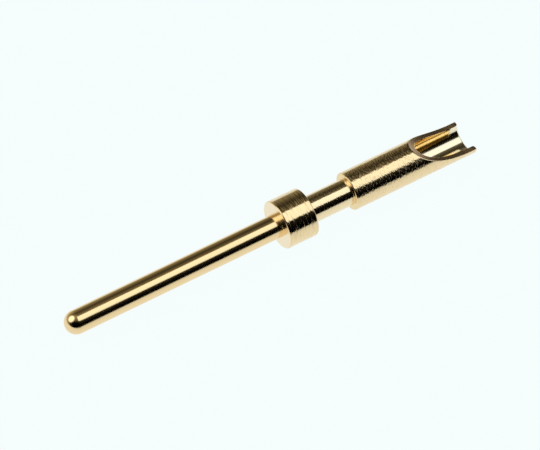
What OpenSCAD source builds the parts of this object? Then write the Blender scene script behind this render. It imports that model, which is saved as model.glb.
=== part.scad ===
// Solder cup pin contact for a circular connector.
// The contact is one turned piece that lies along +X. The origin is on its axis, at the
// collar's seating face. The nose points to -X, and the cup's scoop opens upwards, to +Z.

/* [Pin] */
// Diameter of the mating pin
pin_d = 1.0; // [0.6:0.05:1.1]
// Length of the pin, from the collar's seating face to the tip of the round nose
pin_l = 9.87; // [8:0.01:12]

/* [Collar] */
// Diameter of the retention collar
collar_d = 2.07; // [1.8:0.01:2.6]
// Length of the collar along the axis
collar_l = 1.34; // [1:0.01:2]
// Edge break on both rims of the collar
collar_break = 0.04; // [0.02:0.01:0.1]

/* [Neck] */
// Diameter of the neck between the collar and the cup
neck_d = 1.16; // [0.8:0.02:1.4]
// Length of the neck
neck_l = 1.97; // [1:0.01:3]

/* [Cup] */
// Outside diameter of the cup's barrel
barrel_d = 1.63; // [1.5:0.01:1.75]
// Length of the barrel, from its shoulder to the open end
barrel_l = 5.74; // [5:0.01:7]
// Edge break on the barrel's shoulder
shoulder_break = 0.05; // [0.02:0.01:0.1]
// Thickness of the cup's wall
cup_wall = 0.21; // [0.12:0.01:0.3]
// Depth of the cup's straight bore, measured from the open end
cup_depth = 3.1; // [2.6:0.1:4]
// Angle of the drill point at the bottom of the cup
drill_point = 118; // [90:1:140]

/* [Scoop] */
// Radius of the cutter that opens the side of the cup
scoop_r = 4.2; // [3:0.02:5]
// Distance from the cutter's centre to the open end
scoop_setback = 0.18; // [0:0.01:0.5]
// Depth of the scoop's lowest line below the axis
scoop_drop = 0.05; // [0:0.01:0.2]

/* [Hidden] */

// Facets of a full turn
$fn = 96;
// Overrun of each cut past the surface that it opens
cut_over = 0.2;
// Colour of the gold plating
gold = [0.84, 0.7, 0.38];

shoulder_x = collar_l + neck_l;
end_x = shoulder_x + barrel_l;
cup_d = barrel_d - 2 * cup_wall;
cup_floor_x = end_x - cup_depth;
drill_l = cup_d / 2 / tan(drill_point / 2);
scoop_x = end_x - scoop_setback;
scoop_z = scoop_r - scoop_drop;

// Half section of the turned blank, as [distance along the axis, radius]
function blank_section() = [
    [0, pin_d / 2],
    [0, collar_d / 2 - collar_break],
    [collar_break, collar_d / 2],
    [collar_l - collar_break, collar_d / 2],
    [collar_l, collar_d / 2 - collar_break],
    [collar_l, neck_d / 2],
    [shoulder_x, neck_d / 2],
    [shoulder_x, barrel_d / 2 - shoulder_break],
    [shoulder_x + shoulder_break, barrel_d / 2],
    [end_x, barrel_d / 2],
    [end_x, 0]
];

// Lays what was revolved about Z along X, with its seam on the contact's side
module along_x() rotate([90, 0, 90]) children();

// Half section of the pin's round nose and its shank up to the seating face
module pin_section() {
    nose_z = pin_d / 2 - pin_l;
    intersection() {
        translate([0, nose_z]) circle(d = pin_d);
        translate([0, -pin_l]) square([pin_d / 2, pin_d / 2]);
    }
    translate([0, nose_z]) square([pin_d / 2, -nose_z]);
}

// Pin, collar, neck and barrel before the cup is drilled
module turned_blank() {
    along_x() rotate_extrude() {
        pin_section();
        polygon([[0, 0], for (p = blank_section()) [p[1], p[0]]]);
    }
}

// Drilled hole that takes the wire, with the drill's point at its bottom
module cup_bore() {
    along_x() rotate_extrude() polygon([
        [0, cup_floor_x - drill_l],
        [cup_d / 2, cup_floor_x],
        [cup_d / 2, end_x + cut_over],
        [0, end_x + cut_over]
    ]);
}

// Round cutter, across the axis, that opens the cup's upper side
module scoop_cutter() {
    cutter_w = barrel_d + 2 * cut_over;
    translate([scoop_x, cutter_w / 2, scoop_z]) rotate([90, 0, 0]) cylinder(r = scoop_r, h = cutter_w);
}

module contact() {
    color(gold) difference() {
        turned_blank();
        cup_bore();
        scoop_cutter();
    }
}

contact();
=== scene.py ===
"""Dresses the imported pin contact: a gold-plated turned pin with a collar, a neck and a solder cup.

The contact is turned by a node tree from its half section, rounded at its edges, and its cup is
scooped by the same rule as in the CAD model. Sizes are in millimetres, in the frame of the CAD model,
until a mesh is made.
"""

import logging
import math
from collections.abc import Mapping, Sequence
from dataclasses import dataclass, field
from enum import Enum

import bmesh
import bpy
from mathutils import Matrix, Vector

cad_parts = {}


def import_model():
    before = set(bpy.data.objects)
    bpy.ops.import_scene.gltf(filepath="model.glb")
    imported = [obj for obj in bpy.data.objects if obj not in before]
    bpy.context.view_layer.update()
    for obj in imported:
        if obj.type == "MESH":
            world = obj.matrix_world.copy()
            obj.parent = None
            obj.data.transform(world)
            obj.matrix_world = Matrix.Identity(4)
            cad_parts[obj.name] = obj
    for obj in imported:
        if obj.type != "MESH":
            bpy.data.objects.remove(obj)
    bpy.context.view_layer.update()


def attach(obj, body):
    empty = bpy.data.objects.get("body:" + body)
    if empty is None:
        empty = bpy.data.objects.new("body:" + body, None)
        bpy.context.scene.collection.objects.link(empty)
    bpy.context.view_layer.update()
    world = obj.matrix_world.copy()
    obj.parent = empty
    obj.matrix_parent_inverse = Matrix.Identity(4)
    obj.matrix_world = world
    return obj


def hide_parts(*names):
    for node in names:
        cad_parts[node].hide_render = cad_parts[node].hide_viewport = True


LOG = logging.getLogger("contact_scene")
MM = 0.001
PHOTO_WIDTH = 540
PHOTO_HEIGHT = 450
NOISE_MIDDLE = 0.5

Colour = tuple[float, float, float, float]


class Wire:
    """One output socket of a node tree, on which sums are written as Python expressions."""

    def __init__(self, graph: "Graph", socket: bpy.types.NodeSocket) -> None:
        """Keeps the socket and the graph that new nodes go to."""
        self.graph = graph
        self.socket = socket

    def __add__(self, other: "Wire | float") -> "Wire":
        """Adds a value."""
        return self.graph.math("ADD", self, other)

    __radd__ = __add__

    def __sub__(self, other: "Wire | float") -> "Wire":
        """Takes a value away."""
        return self.graph.math("SUBTRACT", self, other)

    def __rsub__(self, other: float) -> "Wire":
        """Takes this value away from a number."""
        return self.graph.math("SUBTRACT", other, self)

    def __mul__(self, other: "Wire | float") -> "Wire":
        """Multiplies by a value."""
        return self.graph.math("MULTIPLY", self, other)

    __rmul__ = __mul__

    def __truediv__(self, other: "Wire | float") -> "Wire":
        """Divides by a value."""
        return self.graph.math("DIVIDE", self, other)

    def __rtruediv__(self, other: float) -> "Wire":
        """Divides a number by this value."""
        return self.graph.math("DIVIDE", other, self)

    def __neg__(self) -> "Wire":
        """Turns the sign round."""
        return self.graph.math("MULTIPLY", self, -1.0)

    def __abs__(self) -> "Wire":
        """Drops the sign."""
        return self.graph.math("ABSOLUTE", self)

    def call(self, operation: str, *others: "Wire | float") -> "Wire":
        """Runs a Math operation that has no sign of its own, such as COSINE or MAXIMUM."""
        return self.graph.math(operation, self, *others)

    def step(self, low: float, high: float) -> "Wire":
        """Rises smoothly from 0 at low to 1 at high, or falls where high is the lower.

        Args:
            low: Where the result is 0.
            high: Where it is 1.

        Returns:
            The eased value, which is held past both ends.
        """
        if low > high:
            return 1.0 - self.graph.span(self, (high, low), (0.0, 1.0), smooth=True)
        return self.graph.span(self, (low, high), (0.0, 1.0), smooth=True)

    def within(self, low: float, high: float, soft: float) -> "Wire":
        """Is 1 between low and high and 0 outside, over an edge that is soft wide on each side."""
        return self.step(low - soft, low + soft) * self.step(high + soft, high - soft)

    def root(self) -> "Wire":
        """Takes the square root, and 0 of anything below 0."""
        return self.call("MAXIMUM", 0.0).call("SQRT")


class Graph:
    """Adds nodes to one node tree, whether it makes a shape, a finish or the light."""

    def __init__(self, tree: bpy.types.NodeTree) -> None:
        """Keeps the tree."""
        self.tree = tree

    def node(
        self,
        kind: str,
        settings: Mapping[str, object] | None = None,
        inputs: "Mapping[str | int, object] | None" = None,
    ) -> bpy.types.Node:
        """Adds one node.

        Args:
            kind: The node's type.
            settings: The node's own properties, which are set first.
            inputs: A value or a Wire for each socket, by identifier, name or number.

        Returns:
            The new node.
        """
        node = self.tree.nodes.new(kind)
        for name, value in (settings or {}).items():
            setattr(node, name, value)
        for key, value in (inputs or {}).items():
            socket = self._socket(node.inputs, key)
            if isinstance(value, Wire):
                self.tree.links.new(value.socket, socket)
            else:
                socket.default_value = value
        return node

    def wire(
        self,
        kind: str,
        settings: Mapping[str, object] | None = None,
        inputs: "Mapping[str | int, object] | None" = None,
        output: "str | int" = 0,
    ) -> Wire:
        """Adds one node and returns one of its outputs.

        Args:
            kind: The node's type.
            settings: The node's own properties.
            inputs: A value or a Wire for each socket.
            output: Which output to return.

        Returns:
            The output as a Wire.
        """
        return self.output(self.node(kind, settings, inputs), output)

    def output(self, node: bpy.types.Node, key: "str | int" = 0) -> Wire:
        """Returns one output of a node as a Wire."""
        return Wire(self, self._socket(node.outputs, key))

    def math(self, operation: str, *values: "Wire | float") -> Wire:
        """Adds a Math node.

        Args:
            operation: The Math node's operation.
            values: What it works on.

        Returns:
            The result.
        """
        return self.wire("ShaderNodeMath", {"operation": operation}, dict(enumerate(values)))

    def span(
        self,
        value: Wire,
        source: tuple[float, float],
        target: tuple[float, float],
        smooth: bool = False,
    ) -> Wire:
        """Maps one range of values to another and holds the ends.

        Args:
            value: What is mapped.
            source: The lowest and the highest value.
            target: What they become.
            smooth: Whether the ends are eased.

        Returns:
            The mapped value.
        """
        inputs = {"Value": value, "From Min": source[0], "From Max": source[1]}
        inputs |= {"To Min": target[0], "To Max": target[1]}
        kind = "SMOOTHSTEP" if smooth else "LINEAR"
        return self.wire("ShaderNodeMapRange", {"interpolation_type": kind, "clamp": True}, inputs)

    def blend(self, share: "Wire | float", low: "Wire | Colour", high: "Wire | Colour") -> Wire:
        """Mixes two colours by a share from 0 to 1."""
        inputs = {"Factor_Float": share, "A_Color": low, "B_Color": high}
        return self.wire("ShaderNodeMix", {"data_type": "RGBA"}, inputs, "Result_Color")

    def vector(self, x: "Wire | float", y: "Wire | float", z: "Wire | float") -> Wire:
        """Puts three values together as a vector."""
        return self.wire("ShaderNodeCombineXYZ", None, {"X": x, "Y": y, "Z": z})

    def parts(self, vector: Wire) -> tuple[Wire, Wire, Wire]:
        """Takes a vector apart into its three values."""
        node = self.node("ShaderNodeSeparateXYZ", None, {0: vector})
        return self.output(node, "X"), self.output(node, "Y"), self.output(node, "Z")

    def dot(self, vector: Wire, direction: Vector) -> Wire:
        """How far a vector reaches along a fixed direction."""
        inputs = {0: vector, 1: tuple(direction)}
        return self.wire("ShaderNodeVectorMath", {"operation": "DOT_PRODUCT"}, inputs, "Value")

    @staticmethod
    def _socket(sockets: Sequence[bpy.types.NodeSocket], key: "str | int") -> bpy.types.NodeSocket:
        """Finds a socket.

        Args:
            sockets: The inputs or the outputs of a node.
            key: The socket's number, identifier or name.

        Returns:
            The socket.
        """
        if isinstance(key, int):
            return sockets[key]
        for socket in sockets:
            if socket.identifier == key:
                return socket
        return next(s for s in sockets if s.name == key and s.enabled)


class LightShape(Enum):
    """The outline of a soft light."""

    SQUARE = "square"
    ROUND = "round"


class Zone(Enum):
    """The surfaces of the contact that a tool left in its own way, some with a painted highlight."""

    COLLAR = "collar"
    FACE = "face"
    SHOULDER = "shoulder"
    NECK = "neck"
    BARREL = "barrel"
    BORE = "bore"
    CUP_HIGHLIGHT = "cup_highlight"
    SCOOP = "scoop"
    MOUTH = "mouth"


@dataclass(frozen=True)
class ToolMarkAndPaintedLight:
    """One surface's tool marks under the plating, with any painted highlight tone and painted groove
    shade.
    """

    tone: Colour
    roughness: float
    groove_depth: float = 0.0
    # How far painted shade darkens the troughs of the grooves
    groove_shade_share: float = 0.0
    groove_turn: float = 4.0
    scuff: float = 0.0


@dataclass(frozen=True)
class GoldPlate:
    """Bright gold plating over a turned piece, whose grooves show through it.

    The grooves are noise drawn out round the axis: groove_pitch is their breadth, and the higher
    groove_turn is, the sooner they break off. Painted shade darkens the troughs from groove_top down to
    groove_floor of the noise, and the plating gets rougher from scuff_top down to scuff_floor.
    """

    colour: Colour = (0.90, 0.665, 0.37, 1.0)
    # The colour of the painted shade in the troughs of the grooves
    groove_shade: Colour = (0.62, 0.43, 0.21, 1.0)
    polish: float = 0.145
    polish_change: float = 0.05
    groove_pitch: float = 0.05
    groove_turn: float = 4.0
    groove_detail: float = 0.0
    groove_top: float = 0.62
    groove_floor: float = 0.34
    scuff_top: float = 0.47
    scuff_floor: float = 0.27
    ripple_size: float = 0.9
    edge: float = 0.01
    marks: Mapping[Zone, ToolMarkAndPaintedLight] = field(
        default_factory=lambda: {
            Zone.COLLAR: ToolMarkAndPaintedLight(
                tone=(0.905, 0.69, 0.41, 1.0),
                roughness=0.09,
                groove_depth=0.0055,
                groove_shade_share=0.12,
                groove_turn=2.6,
                scuff=0.2,
            ),
            # The faces across the axis are painted paler, so the floor they mirror comes out whiter: a
            # painted highlight
            Zone.FACE: ToolMarkAndPaintedLight(tone=(0.955, 0.79, 0.565, 1.0), roughness=0.2),
            Zone.SHOULDER: ToolMarkAndPaintedLight(tone=(0.88, 0.66, 0.35, 1.0), roughness=0.2),
            Zone.NECK: ToolMarkAndPaintedLight(
                tone=(0.914, 0.733, 0.465, 1.0),
                roughness=0.1,
                groove_depth=0.0035,
                groove_shade_share=0.08,
                groove_turn=7.0,
                scuff=0.11,
            ),
            Zone.BARREL: ToolMarkAndPaintedLight(
                tone=(0.905, 0.69, 0.41, 1.0),
                roughness=0.14,
                groove_depth=0.0065,
                groove_shade_share=0.1,
                groove_turn=8.0,
                scuff=0.19,
            ),
            Zone.BORE: ToolMarkAndPaintedLight(
                tone=(0.98, 0.72, 0.31, 1.0),
                roughness=0.11,
                groove_depth=0.003,
                groove_shade_share=0.35,
                groove_turn=2.0,
            ),
            # The bore's lower wall and the stretch inside its mouth are painted paler: a painted
            # highlight
            Zone.CUP_HIGHLIGHT: ToolMarkAndPaintedLight(tone=(0.93, 0.80, 0.585, 1.0), roughness=0.14),
            Zone.SCOOP: ToolMarkAndPaintedLight(tone=(0.79, 0.51, 0.28, 1.0), roughness=0.34, groove_depth=0.001),
            # The bore's flared mouth is painted paler, so what it mirrors comes out whiter: a painted
            # highlight
            Zone.MOUTH: ToolMarkAndPaintedLight(tone=(0.94, 0.85, 0.72, 1.0), roughness=0.22),
        }
    )

    def material(self, name: str, areas: "Mapping[Zone, Sequence[SurfaceBand]]") -> bpy.types.Material:
        """Makes the plating's material.

        Args:
            name: The material's name.
            areas: Where each tooled surface lies.

        Returns:
            The material.
        """
        made = bpy.data.materials.new(name)
        made.use_nodes = True
        made.node_tree.nodes.clear()
        graph = Graph(made.node_tree)
        place = graph.wire("ShaderNodeTexCoord", output="Object")
        to_mm = {0: place, "Scale": 1.0 / MM}
        in_mm = graph.wire("ShaderNodeVectorMath", {"operation": "SCALE"}, to_mm)
        x, y, z = graph.parts(in_mm)
        radius = (y * y + z * z).call("SQRT")

        colour: "Wire | Colour" = self.colour
        roughness: "Wire | float" = self.polish
        depth: "Wire | float" = 0.0
        shade_share: "Wire | float" = 0.0
        turn: "Wire | float" = self.groove_turn
        scuff: "Wire | float" = 0.0
        for zone, mark in self.marks.items():
            here: "Wire | float" = 0.0
            for area in areas[zone]:
                across = radius.within(area.inner, area.outer, self.edge)
                under = z.step(area.top + self.edge, area.top - self.edge)
                here = x.within(area.start, area.end, self.edge) * across * under + here
            here = here.call("MINIMUM", 1.0)
            colour = graph.blend(here, colour, mark.tone)
            roughness = roughness + here * (mark.roughness - roughness)
            depth = depth + here * (mark.groove_depth - depth)
            shade_share = shade_share + here * (mark.groove_shade_share - shade_share)
            turn = turn + here * (mark.groove_turn - turn)
            scuff = scuff + here * (mark.scuff - scuff)

        rings = graph.vector((x + radius) / self.groove_pitch, y * turn, z * turn)
        groove_noise = {"Vector": rings, "Scale": 1.0, "Detail": self.groove_detail}
        groove = graph.wire("ShaderNodeTexNoise", None, groove_noise, "Fac")
        ripple_noise = {"Vector": in_mm, "Scale": 1.0 / self.ripple_size}
        ripple = graph.wire("ShaderNodeTexNoise", None, ripple_noise, "Fac")
        roughness = roughness + (ripple - NOISE_MIDDLE) * self.polish_change
        roughness = roughness + groove.step(self.scuff_top, self.scuff_floor) * scuff
        # Painted shade: the troughs of the grooves are darkened towards the shade colour
        colour = graph.blend(groove.step(self.groove_top, self.groove_floor) * shade_share, colour, self.groove_shade)
        height = (groove - NOISE_MIDDLE) * depth * MM
        bump = graph.wire("ShaderNodeBump", None, {"Height": height, "Distance": 1.0, "Strength": 1.0})
        skin = graph.wire(
            "ShaderNodeBsdfPrincipled",
            None,
            {"Base Color": colour, "Metallic": 1.0, "Roughness": roughness, "Normal": bump},
        )
        graph.node("ShaderNodeOutputMaterial", None, {"Surface": skin})
        return made


@dataclass(frozen=True)
class SurfaceBand:
    """A stretch of the contact along its axis, between two radii and under a height."""

    start: float
    end: float
    inner: float
    outer: float
    top: float = 10.0


@dataclass(frozen=True)
class Corner:
    """One corner of the half section, with the radius that rounds it."""

    x: float
    r: float
    rounding: float = 0.0


@dataclass
class TurnedContact:
    """The contact itself: pin, collar, neck and solder cup, turned in one piece.

    A row of points lies a support's length beside each rounding. The counts of columns go down one side
    from the top, each to the angle after it, and the columns are closest at the tips of the scoop. From
    level_from to level_to a column keeps its height through the wall. Angles are in degrees.
    """

    pin_radius: float = 0.5
    pin_length: float = 9.87
    collar_radius: float = 1.035
    collar_length: float = 1.34
    collar_round: float = 0.045
    neck_radius: float = 0.58
    neck_length: float = 1.97
    barrel_radius: float = 0.815
    barrel_length: float = 5.74
    shoulder_round: float = 0.05
    bore_radius: float = 0.605
    bore_depth: float = 3.1
    drill_tip: float = 0.3635
    root_round: float = 0.01
    lip_round: float = 0.025
    mouth_flare: float = 0.06
    mouth_length: float = 0.072
    # The bore's wall below this height, and within pale_mouth of its end, carries a painted highlight
    cup_highlight_z: float = -0.44
    pale_mouth: float = 0.45
    scoop_radius: float = 4.2
    scoop_setback: float = 0.18
    scoop_drop: float = 0.05
    lip_zone: float = 0.2
    support: float = 0.015
    nose_steps: int = 20
    edge_steps: int = 3
    top_columns: int = 36
    top_angle: float = 72.0
    side_columns: int = 14
    side_angle: float = 86.0
    horn_columns: int = 18
    flat_columns: int = 2
    tip_columns: int = 4
    below_columns: int = 3
    below_angle: float = 97.0
    under_columns: int = 40
    level_from: float = 62.0
    level_to: float = 118.0
    level_edge: float = 13.0
    skin_share: float = 0.1
    clear: float = 1.0
    weld: float = 0.0001
    name: str = "gold_contact"

    @property
    def shoulder_x(self) -> float:
        """Where the barrel begins."""
        return self.collar_length + self.neck_length

    @property
    def end_x(self) -> float:
        """Where the cup ends."""
        return self.shoulder_x + self.barrel_length

    @property
    def scoop_x(self) -> float:
        """Where the scoop's centre lies along the axis."""
        return self.end_x - self.scoop_setback

    @property
    def scoop_z(self) -> float:
        """How high the scoop's centre lies."""
        return self.scoop_radius - self.scoop_drop

    def corners(self) -> list[Corner]:
        """Lays out the half section.

        Returns:
            Its corners, from the nose round the outside and into the cup.
        """
        floor_x = self.end_x - self.bore_depth
        return [
            Corner(-self.pin_length, 0.0),
            Corner(-self.pin_length, self.pin_radius, self.pin_radius),
            Corner(0.0, self.pin_radius, self.root_round),
            Corner(0.0, self.collar_radius, self.collar_round),
            Corner(self.collar_length, self.collar_radius, self.collar_round),
            Corner(self.collar_length, self.neck_radius, self.root_round),
            Corner(self.shoulder_x, self.neck_radius, self.root_round),
            Corner(self.shoulder_x, self.barrel_radius, self.shoulder_round),
            Corner(self.end_x, self.barrel_radius, self.lip_round),
            Corner(self.end_x, self.bore_radius, self.lip_round),
            Corner(self.end_x - self.mouth_length, self.bore_radius),
            Corner(self.end_x - self.mouth_length - self.support, self.bore_radius),
            Corner(floor_x, self.bore_radius, self.root_round),
            Corner(floor_x - self.drill_tip, 0.0),
        ]

    def section(self) -> list[Corner]:
        """Adds the points that keep the faces between two roundings flat.

        Returns:
            The corners, with a point on each side of every rounding.
        """
        corners = self.corners()
        found = [corners[0]]
        for before, corner in zip(corners, corners[1:]):
            start = Vector((before.x, before.r))
            end = Vector((corner.x, corner.r))
            length = (end - start).length
            for reach in (before.rounding + self.support, length - corner.rounding - self.support):
                if self.support < reach < length - self.support:
                    point = start.lerp(end, reach / length)
                    found.append(Corner(point.x, point.y))
            found.append(corner)
        return found

    def areas(self) -> dict[Zone, tuple[SurfaceBand, ...]]:
        """Says where each tooled surface lies, for the finish.

        Returns:
            The bands of each surface. A band that has no limit on one side ends clear of the contact.
        """
        skin = (self.barrel_radius - self.bore_radius) * self.skin_share
        flush = self.collar_round * self.skin_share
        rim = self.collar_round + skin
        core = -self.clear
        outside = self.collar_radius + self.clear
        beyond = self.end_x + self.clear
        collar_end = self.collar_length
        over_pin = self.pin_radius + skin
        over_neck = self.neck_radius + skin
        inner = self.bore_radius + skin
        outer = self.barrel_radius - skin
        cup_x = self.end_x - self.bore_depth - self.drill_tip
        pale_x = self.end_x - self.pale_mouth
        mouth_x = self.end_x - self.mouth_length
        mouth_r = self.bore_radius + self.mouth_flare + self.lip_round
        return {
            Zone.COLLAR: (SurfaceBand(rim, collar_end - rim, over_neck, outside),),
            # The faces across the axis are painted paler, so the floor they mirror comes out whiter: a
            # painted highlight
            Zone.FACE: (
                SurfaceBand(-skin, flush, over_pin, outside),
                SurfaceBand(collar_end - flush, collar_end + skin, over_neck, outside),
            ),
            Zone.SHOULDER: (
                SurfaceBand(self.shoulder_x - skin, self.shoulder_x + flush, over_neck, outside),
            ),
            Zone.NECK: (SurfaceBand(collar_end, self.shoulder_x, core, over_neck),),
            Zone.BARREL: (SurfaceBand(self.shoulder_x + skin, beyond, outer, outside),),
            Zone.BORE: (SurfaceBand(cup_x, beyond, core, inner),),
            # The bore's lower wall and the stretch inside its mouth are painted paler: a painted
            # highlight
            Zone.CUP_HIGHLIGHT: (
                SurfaceBand(cup_x, beyond, core, inner, self.cup_highlight_z),
                SurfaceBand(pale_x, beyond, core, inner),
            ),
            Zone.SCOOP: (SurfaceBand(cup_x, beyond, inner, outer),),
            # The bore's flared mouth is painted paler, so what it mirrors comes out whiter: a painted
            # highlight
            Zone.MOUTH: (SurfaceBand(mouth_x, beyond, core, mouth_r),),
        }

    def columns(self) -> list[tuple[int, float]]:
        """Counts the columns of faces from the top down to each angle, on one side.

        Returns:
            Pairs of the count so far and the angle there, in degrees.
        """
        flat_z = self.scoop_z - self._scoop_drop_at_end()
        runs = (
            (self.top_columns, self.top_angle),
            (self.side_columns, self.side_angle),
            (self.horn_columns, self._angle_at(flat_z)),
            (self.flat_columns, self._angle_at(-self.scoop_drop)),
            (self.tip_columns, self._angle_at(-self.scoop_drop - self.lip_round)),
            (self.below_columns, self.below_angle),
            (self.under_columns, math.degrees(math.pi)),
        )
        places = [(0, 0.0)]
        for count, angle in runs:
            places.append((places[-1][0] + count, angle))
        return places

    def _angle_at(self, z: float) -> float:
        """The angle from the top, in degrees, at which the barrel's outside has a height."""
        return math.degrees(math.acos(z / self.barrel_radius))

    def _scoop_drop_at_end(self) -> float:
        """How far below its centre the scoop's circle is at the cup's end."""
        return math.sqrt(self.scoop_radius**2 - self.scoop_setback**2)

    def build(self, finish: bpy.types.Material) -> bpy.types.Object:
        """Turns the section into the contact's mesh.

        Args:
            finish: The material that the tree sets.

        Returns:
            The contact as a plain mesh at the origin.
        """
        section = self.section()
        seed = bpy.data.meshes.new("half_section")
        points = [(c.x * MM, 0.0, c.r * MM) for c in section]
        seed.from_pydata(points, [(i, i + 1) for i in range(len(points) - 1)], [])
        rounding = seed.attributes.new("rounding", "FLOAT", "POINT")
        rounding.data.foreach_set("value", [c.rounding * MM for c in section])
        host = bpy.data.objects.new("half_section", seed)
        bpy.context.scene.collection.objects.link(host)

        values = self._lathe_values(finish)
        tree, sockets = self._lathe(values)
        modifier = host.modifiers.new("lathe", "NODES")
        modifier.node_group = tree
        for name, value in values.items():
            modifier[sockets[name]] = value
        bpy.context.view_layer.update()
        depsgraph = bpy.context.evaluated_depsgraph_get()
        mesh = bpy.data.meshes.new_from_object(host.evaluated_get(depsgraph), depsgraph=depsgraph)
        host.modifiers.remove(modifier)
        bpy.data.objects.remove(host)
        bpy.data.meshes.remove(seed)

        mesh.name = self.name
        mesh.materials.clear()
        mesh.materials.append(finish)
        mesh.polygons.foreach_set("material_index", [0] * len(mesh.polygons))
        piece = bpy.data.objects.new(self.name, mesh)
        bpy.context.scene.collection.objects.link(piece)
        return piece

    def dress(self, piece: bpy.types.Object) -> None:
        """Puts the piece on its body in place of the CAD node, which it hides.

        Args:
            piece: The finished contact.
        """
        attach(piece, "root")
        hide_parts("contact")

    def _lathe_values(self, finish: bpy.types.Material) -> dict[str, object]:
        """Gathers what goes into the lathe tree.

        Args:
            finish: The contact's material.

        Returns:
            The sizes and the material, by the names of the tree's inputs.
        """
        return {
            "Columns": 2 * self.columns()[-1][0],
            "Nose steps": self.nose_steps,
            "Edge steps": self.edge_steps,
            "Barrel radius": self.barrel_radius,
            "Bore radius": self.bore_radius,
            "Cup end": self.end_x,
            "Lip zone": self.lip_zone,
            "Lip rounding": self.lip_round,
            "Mouth flare": self.mouth_flare,
            "Mouth length": self.mouth_length,
            "Scoop radius": self.scoop_radius,
            "Scoop centre X": self.scoop_x,
            "Scoop centre Z": self.scoop_z,
            "Weld": self.weld * MM,
            "Finish": finish,
        }

    def _lathe(self, values: Mapping[str, object]) -> tuple[bpy.types.NodeTree, dict[str, str]]:
        """Makes the node tree that rounds the section, turns it and scoops the cup.

        Args:
            values: What will go into the tree, by the names of its inputs.

        Returns:
            The tree, and the identifier of each input by its name.
        """
        tree = bpy.data.node_groups.new("lathe", "GeometryNodeTree")
        panel = tree.interface
        panel.new_socket("Geometry", in_out="OUTPUT", socket_type="NodeSocketGeometry")
        panel.new_socket("Section", in_out="INPUT", socket_type="NodeSocketGeometry")
        kinds = {
            int: "NodeSocketInt",
            float: "NodeSocketFloat",
            bpy.types.Material: "NodeSocketMaterial",
        }
        sockets = {}
        for name, value in values.items():
            kind = kinds[type(value)]
            sockets[name] = panel.new_socket(name, in_out="INPUT", socket_type=kind).identifier

        graph = Graph(tree)
        entry = graph.node("NodeGroupInput")
        size = {name: graph.output(entry, key) for name, key in sockets.items()}
        curve = self._rounded_section(graph, graph.output(entry, "Section"), size)
        rows = graph.wire(
            "GeometryNodeAttributeDomainSize", {"component": "CURVE"}, {"Geometry": curve}, "Point Count"
        )
        sheet = graph.wire(
            "GeometryNodeMeshGrid",
            None,
            {"Vertices X": size["Columns"] + 1.0, "Vertices Y": rows, "Size X": 1.0, "Size Y": 1.0},
            "Mesh",
        )
        index = graph.wire("GeometryNodeInputIndex")
        column = (index / rows).call("FLOOR")
        row = index - column * rows
        spot = graph.wire(
            "GeometryNodeSampleIndex",
            {"data_type": "FLOAT_VECTOR", "domain": "POINT"},
            {"Geometry": curve, "Value": graph.wire("GeometryNodeInputPosition"), "Index": row},
            "Value",
        )
        along, _, out = graph.parts(spot)
        x, y, z = self._scooped(graph, along / MM, out / MM, column, size)
        moved = graph.wire(
            "GeometryNodeSetPosition",
            None,
            {"Geometry": sheet, "Position": graph.vector(x * MM, y * MM, z * MM)},
        )
        weld = {"Geometry": moved, "Distance": size["Weld"]}
        welded = graph.wire("GeometryNodeMergeByDistance", None, weld)
        smooth = graph.wire("GeometryNodeSetShadeSmooth", None, {0: welded, "Shade Smooth": True})
        real = graph.wire("GeometryNodeRealizeInstances", None, {0: smooth})
        plate = {"Geometry": real, "Material": size["Finish"]}
        plated = graph.wire("GeometryNodeSetMaterial", None, plate)
        graph.node("NodeGroupOutput", None, {"Geometry": plated})
        return tree, sockets

    def _rounded_section(self, graph: Graph, section: Wire, size: Mapping[str, Wire]) -> Wire:
        """Rounds the corners of the section that ask for it.

        Args:
            graph: The lathe tree.
            section: The section as edges.
            size: The tree's inputs.

        Returns:
            The rounded section as a curve.
        """
        line = graph.wire("GeometryNodeMeshToCurve", None, {"Mesh": section})
        rounding = graph.wire(
            "GeometryNodeInputNamedAttribute", {"data_type": "FLOAT"}, {"Name": "rounding"}, "Attribute"
        )
        is_nose = rounding.call("GREATER_THAN", self.pin_radius * MM / 2)
        steps = size["Edge steps"] + is_nose * (size["Nose steps"] - size["Edge steps"])
        return graph.wire(
            "GeometryNodeFilletCurve",
            {"mode": "POLY"},
            {"Curve": line, "Count": steps, "Radius": rounding, "Limit Radius": True},
        )

    def _scooped(
        self, graph: Graph, along: Wire, out: Wire, column: Wire, size: Mapping[str, Wire]
    ) -> tuple[Wire, Wire, Wire]:
        """Places one point of the turned sheet, with the cup's lip drawn back to the scoop.

        Args:
            graph: The lathe tree.
            along: How far along the axis the section's point is.
            out: Its radius.
            column: The number of its column, round the axis from below.
            size: The tree's inputs.

        Returns:
            The point's three coordinates in millimetres.
        """
        half = size["Columns"] / 2.0
        side = (column - half).call("SIGN")
        step = abs(column - half)
        angle: "Wire | float" = 0.0
        places = self.columns()
        for (first, start), (last, end) in zip(places, places[1:]):
            turn = (0.0, math.radians(end - start))
            angle = graph.span(step, (float(first), float(last)), turn) + angle

        # The columns near the scoop's tips keep their height through the wall, as the cutter does
        level = angle.call("COSINE") * size["Barrel radius"] / out.call("MAXIMUM", size["Bore radius"])
        leveled = level.call("MINIMUM", 1.0).call("MAXIMUM", -1.0).call("ARCCOSINE")
        stretch = (self.level_from, self.level_to, self.level_edge)
        share = angle.within(*map(math.radians, stretch))
        angle = angle + (leveled - angle) * share
        y = out * angle.call("SINE") * side * -1.0
        z = out * angle.call("COSINE")

        lip = self._lip(z, size)
        at_lip = along.call("GREATER_THAN", size["Cup end"] - size["Lip zone"])
        x = along - (size["Cup end"] - lip) * at_lip

        # The bore opens a little at its mouth, but not along the scoop
        reach = (x - size["Cup end"]) / size["Mouth length"] + 1.0
        middle = (size["Bore radius"] + size["Barrel radius"]) / 2.0
        flare = reach.call("MAXIMUM", 0.0) * size["Mouth flare"] * out.call("LESS_THAN", middle)
        wider = flare / size["Bore radius"] + 1.0
        return x, y * wider, z * wider

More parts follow.
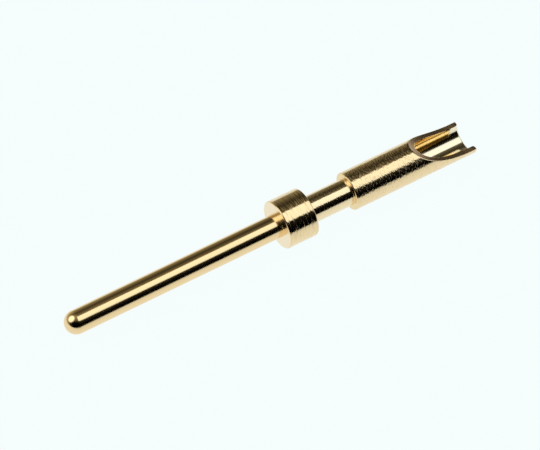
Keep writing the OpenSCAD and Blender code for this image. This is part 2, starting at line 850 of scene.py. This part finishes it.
    def _lip(self, z: Wire, size: Mapping[str, Wire]) -> Wire:
        """How far the cup's lip reaches at a height.

        Args:
            z: The height over the axis.
            size: The tree's inputs.

        Returns:
            The lip's place along the axis: the scoop's circle, its flat, a rounded tip or the end.
        """
        end = size["Cup end"]
        tip_x = end - size["Lip rounding"]
        low = size["Scoop centre Z"] - size["Scoop radius"]
        high = low + self._flat_rise()
        dip = z - size["Scoop centre Z"]
        depth = (size["Scoop radius"] * size["Scoop radius"] - dip * dip).root()
        circle = size["Scoop centre X"] - depth
        flat_x = size["Scoop centre X"] * 2.0 - end
        flat = flat_x + (high - z) / self._flat_rise() * (tip_x - flat_x)
        below = z - (low - size["Lip rounding"])
        round_x = (size["Lip rounding"] * size["Lip rounding"] - below * below).root()
        tip = tip_x + round_x
        on_circle = z.call("GREATER_THAN", high)
        on_flat = z.call("GREATER_THAN", low)
        on_tip = below.call("GREATER_THAN", 0.0)
        found = end + (tip - end) * on_tip
        found = found + (flat - found) * on_flat
        return found + (circle - found) * on_circle

    def _flat_rise(self) -> float:
        """How much the scoop's circle rises from its lowest point to the cup's end."""
        return self.scoop_radius - self._scoop_drop_at_end()


@dataclass(frozen=True)
class SoftBox:
    """A soft light, as a bright patch with soft edges in the studio's sky.

    Its place is given in degrees from straight overhead: forward to the contact's near side, then along
    to its cup end. Its half length, half width and softness are tangents of angles from its middle.
    """

    forward: float
    along: float
    roll: float
    half_length: float
    half_width: float
    softness: float
    strength: float
    shape: LightShape = LightShape.SQUARE
    behind: float = 0.05

    def axes(self) -> tuple[Vector, Vector, Vector]:
        """Finds how the light is turned.

        Returns:
            The directions to its middle, along its length and across it.
        """
        front = math.radians(self.forward)
        lean = math.radians(self.along)
        turn = math.radians(self.roll)
        overhead = Vector((0.0, -math.sin(front), math.cos(front)))
        level = Vector((1.0, 0.0, 0.0))
        middle = level * math.sin(lean) + overhead * math.cos(lean)
        length = level * math.cos(lean) - overhead * math.sin(lean)
        width = Vector((0.0, -math.cos(front), -math.sin(front)))
        turned_length = length * math.cos(turn) + width * math.sin(turn)
        turned_width = width * math.cos(turn) - length * math.sin(turn)
        return middle, turned_length, turned_width

    def light(self, graph: Graph, direction: Wire) -> Wire:
        """The strength of this light in a direction.

        Args:
            graph: The world's tree.
            direction: Where a ray goes.

        Returns:
            The strength there.
        """
        middle, length, width = self.axes()
        ahead = graph.dot(direction, middle)
        safe = ahead.call("MAXIMUM", self.behind)
        a = abs(graph.dot(direction, length) / safe) / self.half_length
        b = abs(graph.dot(direction, width) / safe) / self.half_width
        soft_a = self.softness / self.half_length
        soft_b = self.softness / self.half_width
        if self.shape is LightShape.ROUND:
            inside = (a * a + b * b).call("SQRT").step(1.0 + soft_a, 1.0 - soft_a)
        else:
            inside = a.step(1.0 + soft_a, 1.0 - soft_a) * b.step(1.0 + soft_b, 1.0 - soft_b)
        return inside * ahead.call("GREATER_THAN", self.behind) * self.strength


@dataclass
class Studio:
    """The pale floor, the soft lights over it and the dim room behind."""

    floor_z: float
    floor_half: float = 1500.0
    floor_front: float = -18.0
    floor_back: float = 26.0
    # These shape a painted pool of light on the floor, which shows only in reflections
    fall_off: tuple[float, float] = (1.0, 18.0)
    far_glow: float = 0.5
    back_share: float = 0.5
    floor_colour: Colour = (0.93, 1.0, 1.0, 1.0)
    unlit: Colour = (0.0, 0.0, 0.0, 1.0)
    floor_glow: float = 0.97
    backdrop: float = 0.98
    lamp_colour: Colour = (0.93, 1.0, 1.0, 1.0)
    floor_white: Colour = (0.80, 0.84, 0.84, 1.0)
    room_colour: Colour = (1.0, 0.89, 0.55, 1.0)
    room_dim: float = 0.041
    room_horizon: float = 0.19
    room_overhead: float = 0.09
    low_part: tuple[float, float] = (0.75, 0.0)
    high_part: tuple[float, float] = (0.72, 0.96)
    far_part: tuple[float, float] = (-0.95, 0.1)
    nose_part: tuple[float, float] = (0.2, 0.46)
    nose_share: tuple[float, float] = (2.2, 0.1)
    nose_skew: float = 0.7
    lights: Sequence[SoftBox] = (
        SoftBox(
            forward=19.2,
            along=37.0,
            roll=12.0,
            half_length=0.577,
            half_width=0.404,
            softness=0.05,
            strength=1.22,
        ),
        SoftBox(
            forward=-27.2,
            along=-36.0,
            roll=0.0,
            half_length=0.52,
            half_width=0.52,
            softness=0.15,
            strength=1.42,
            shape=LightShape.ROUND,
        ),
    )

    def build_floor(self) -> bpy.types.Object:
        """Lays the floor under the contact.

        Returns:
            The floor.
        """
        half = self.floor_half * MM
        z = self.floor_z * MM
        mesh = bpy.data.meshes.new("floor")
        front = self.floor_front * MM
        back = self.floor_back * MM
        corners = [(-half, front, z), (half, front, z), (half, back, z), (-half, back, z)]
        mesh.from_pydata(corners, [], [(0, 1, 2, 3)])
        floor = bpy.data.objects.new("floor", mesh)
        bpy.context.scene.collection.objects.link(floor)
        mesh.materials.append(self._paper())
        return floor

    def build_world(self) -> bpy.types.World:
        """Makes the studio's light.

        Returns:
            The world.
        """
        world = bpy.data.worlds.new("studio")
        world.use_nodes = True
        world.node_tree.nodes.clear()
        bpy.context.scene.world = world
        graph = Graph(world.node_tree)
        direction = graph.wire("ShaderNodeTexCoord", output="Generated")
        boxes: "Wire | float" = 0.0
        for light in self.lights:
            boxes = light.light(graph, direction) + boxes
        room = self._room(graph, direction)
        lamp = graph.wire("ShaderNodeBackground", None, {"Color": self.lamp_colour, "Strength": boxes})
        dim = graph.wire("ShaderNodeBackground", None, {"Color": self.room_colour, "Strength": room})
        pale = {"Color": self.floor_colour, "Strength": self.backdrop}
        seen = graph.wire("ShaderNodeBackground", None, pale)
        both = graph.wire("ShaderNodeAddShader", None, {0: lamp, 1: dim})
        is_camera = graph.wire("ShaderNodeLightPath", output="Is Camera Ray")
        shown = graph.wire("ShaderNodeMixShader", None, {0: is_camera, 1: both, 2: seen})
        graph.node("ShaderNodeOutputWorld", None, {"Surface": shown})
        return world

    def _room(self, graph: Graph, direction: Wire) -> Wire:
        """The strength of the dim room, which is brighter low down, overhead and by the nose.

        Args:
            graph: The world's tree.
            direction: Where a ray goes.

        Returns:
            The strength there.
        """
        x, y, z = graph.parts(direction)
        low = z.step(*self.low_part) * self.room_horizon
        high = z.step(*self.high_part) * self.room_overhead
        by_nose = graph.span(x, self.nose_part, self.nose_share)
        far_side = (y + x.call("MINIMUM", 0.0) * self.nose_skew).step(*self.far_part)
        return (low + high + self.room_dim) * by_nose * far_side

    def _paper(self) -> bpy.types.Material:
        """Makes the floor's pale paper, which keeps a soft shadow.

        Returns:
            The material.
        """
        made = bpy.data.materials.new("pale_paper")
        made.use_nodes = True
        made.node_tree.nodes.clear()
        graph = Graph(made.node_tree)
        rays = graph.node("ShaderNodeLightPath")
        by_camera = graph.output(rays, "Is Camera Ray")
        seen = by_camera + graph.output(rays, "Is Glossy Ray")
        seen = (seen + graph.output(rays, "Is Transmission Ray")).call("MINIMUM", 1.0)
        # Painted pool of light: in reflections the paper's glow fades from near the contact out to
        # far_glow
        _, y, _ = graph.parts(graph.wire("ShaderNodeTexCoord", output="Object"))
        away = (-y).call("MAXIMUM", y * self.back_share) / MM
        near = graph.span(away, self.fall_off, (1.0, self.far_glow))
        shown = graph.blend(by_camera + (1.0 - by_camera) * near, self.unlit, self.floor_colour)
        matt = graph.wire("ShaderNodeBsdfDiffuse", None, {"Color": self.floor_white})
        glow = graph.wire("ShaderNodeEmission", None, {"Color": shown, "Strength": 1.0})
        mixed = graph.wire("ShaderNodeMixShader", None, {0: seen * self.floor_glow, 1: matt, 2: glow})
        graph.node("ShaderNodeOutputMaterial", None, {"Surface": mixed})
        return made


@dataclass(frozen=True)
class PhotoCamera:
    """The camera at the photograph's viewing angle, with the collar's front at its pixel there."""

    azimuth: float = -33.86
    elevation: float = 52.39
    roll: float = 2.32
    distance: float = 230.0
    pixels_per_mm: float = 24.96
    collar_pixel: tuple[float, float] = (277.2, 225.35)
    sensor: float = 36.0
    near_share: float = 0.1
    far_share: float = 100.0

    def build(self) -> bpy.types.Object:
        """Places the camera and makes it the scene's own.

        Returns:
            The camera.
        """
        turn = math.radians(self.azimuth)
        rise = math.radians(self.elevation)
        level = math.cos(rise)
        back = Vector((math.sin(turn) * level, -math.cos(turn) * level, math.sin(rise)))
        upright = back.to_track_quat("Z", "Y").to_matrix()
        facing = Matrix.Rotation(math.radians(self.roll), 3, back) @ upright
        right, up, _ = facing.transposed()
        aside = (self.collar_pixel[0] - PHOTO_WIDTH / 2) / self.pixels_per_mm
        below = (self.collar_pixel[1] - PHOTO_HEIGHT / 2) / self.pixels_per_mm
        middle = up * below - right * aside

        data = bpy.data.cameras.new("photo_camera")
        data.sensor_fit = "HORIZONTAL"
        data.sensor_width = self.sensor
        data.lens = self.pixels_per_mm * self.distance / PHOTO_WIDTH * self.sensor
        data.clip_start = self.distance * MM * self.near_share
        data.clip_end = self.distance * MM * self.far_share
        camera = bpy.data.objects.new("photo_camera", data)
        bpy.context.scene.collection.objects.link(camera)
        camera.location = (middle + back * self.distance) * MM
        camera.rotation_euler = facing.to_euler()
        bpy.context.scene.camera = camera
        return camera


def report(piece: bpy.types.Object) -> None:
    """Logs a piece's faces and volume.

    Args:
        piece: The finished piece.
    """
    shape = bmesh.new()
    shape.from_mesh(piece.data)
    volume = shape.calc_volume(signed=True) / MM**3
    open_edges = sum(1 for edge in shape.edges if not edge.is_manifold)
    LOG.info("%s: %d faces, %.3f mm3, %d open edges", piece.name, len(shape.faces), volume, open_edges)
    shape.free()


def main() -> None:
    """Builds the contact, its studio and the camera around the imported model."""
    logging.basicConfig(level=logging.INFO, format="%(name)s: %(message)s")
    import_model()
    bpy.context.scene.view_settings.view_transform = "Standard"

    contact = TurnedContact()
    gold = GoldPlate().material("gold_plate", contact.areas())
    piece = contact.build(gold)
    contact.dress(piece)
    report(piece)

    studio = Studio(floor_z=-contact.collar_radius)
    studio.build_floor()
    studio.build_world()
    LOG.info("studio: floor and %d soft lights", len(studio.lights))
    camera = PhotoCamera().build()
    LOG.info("camera: lens %.1f mm", camera.data.lens)


if __name__ == "__main__":
    main()
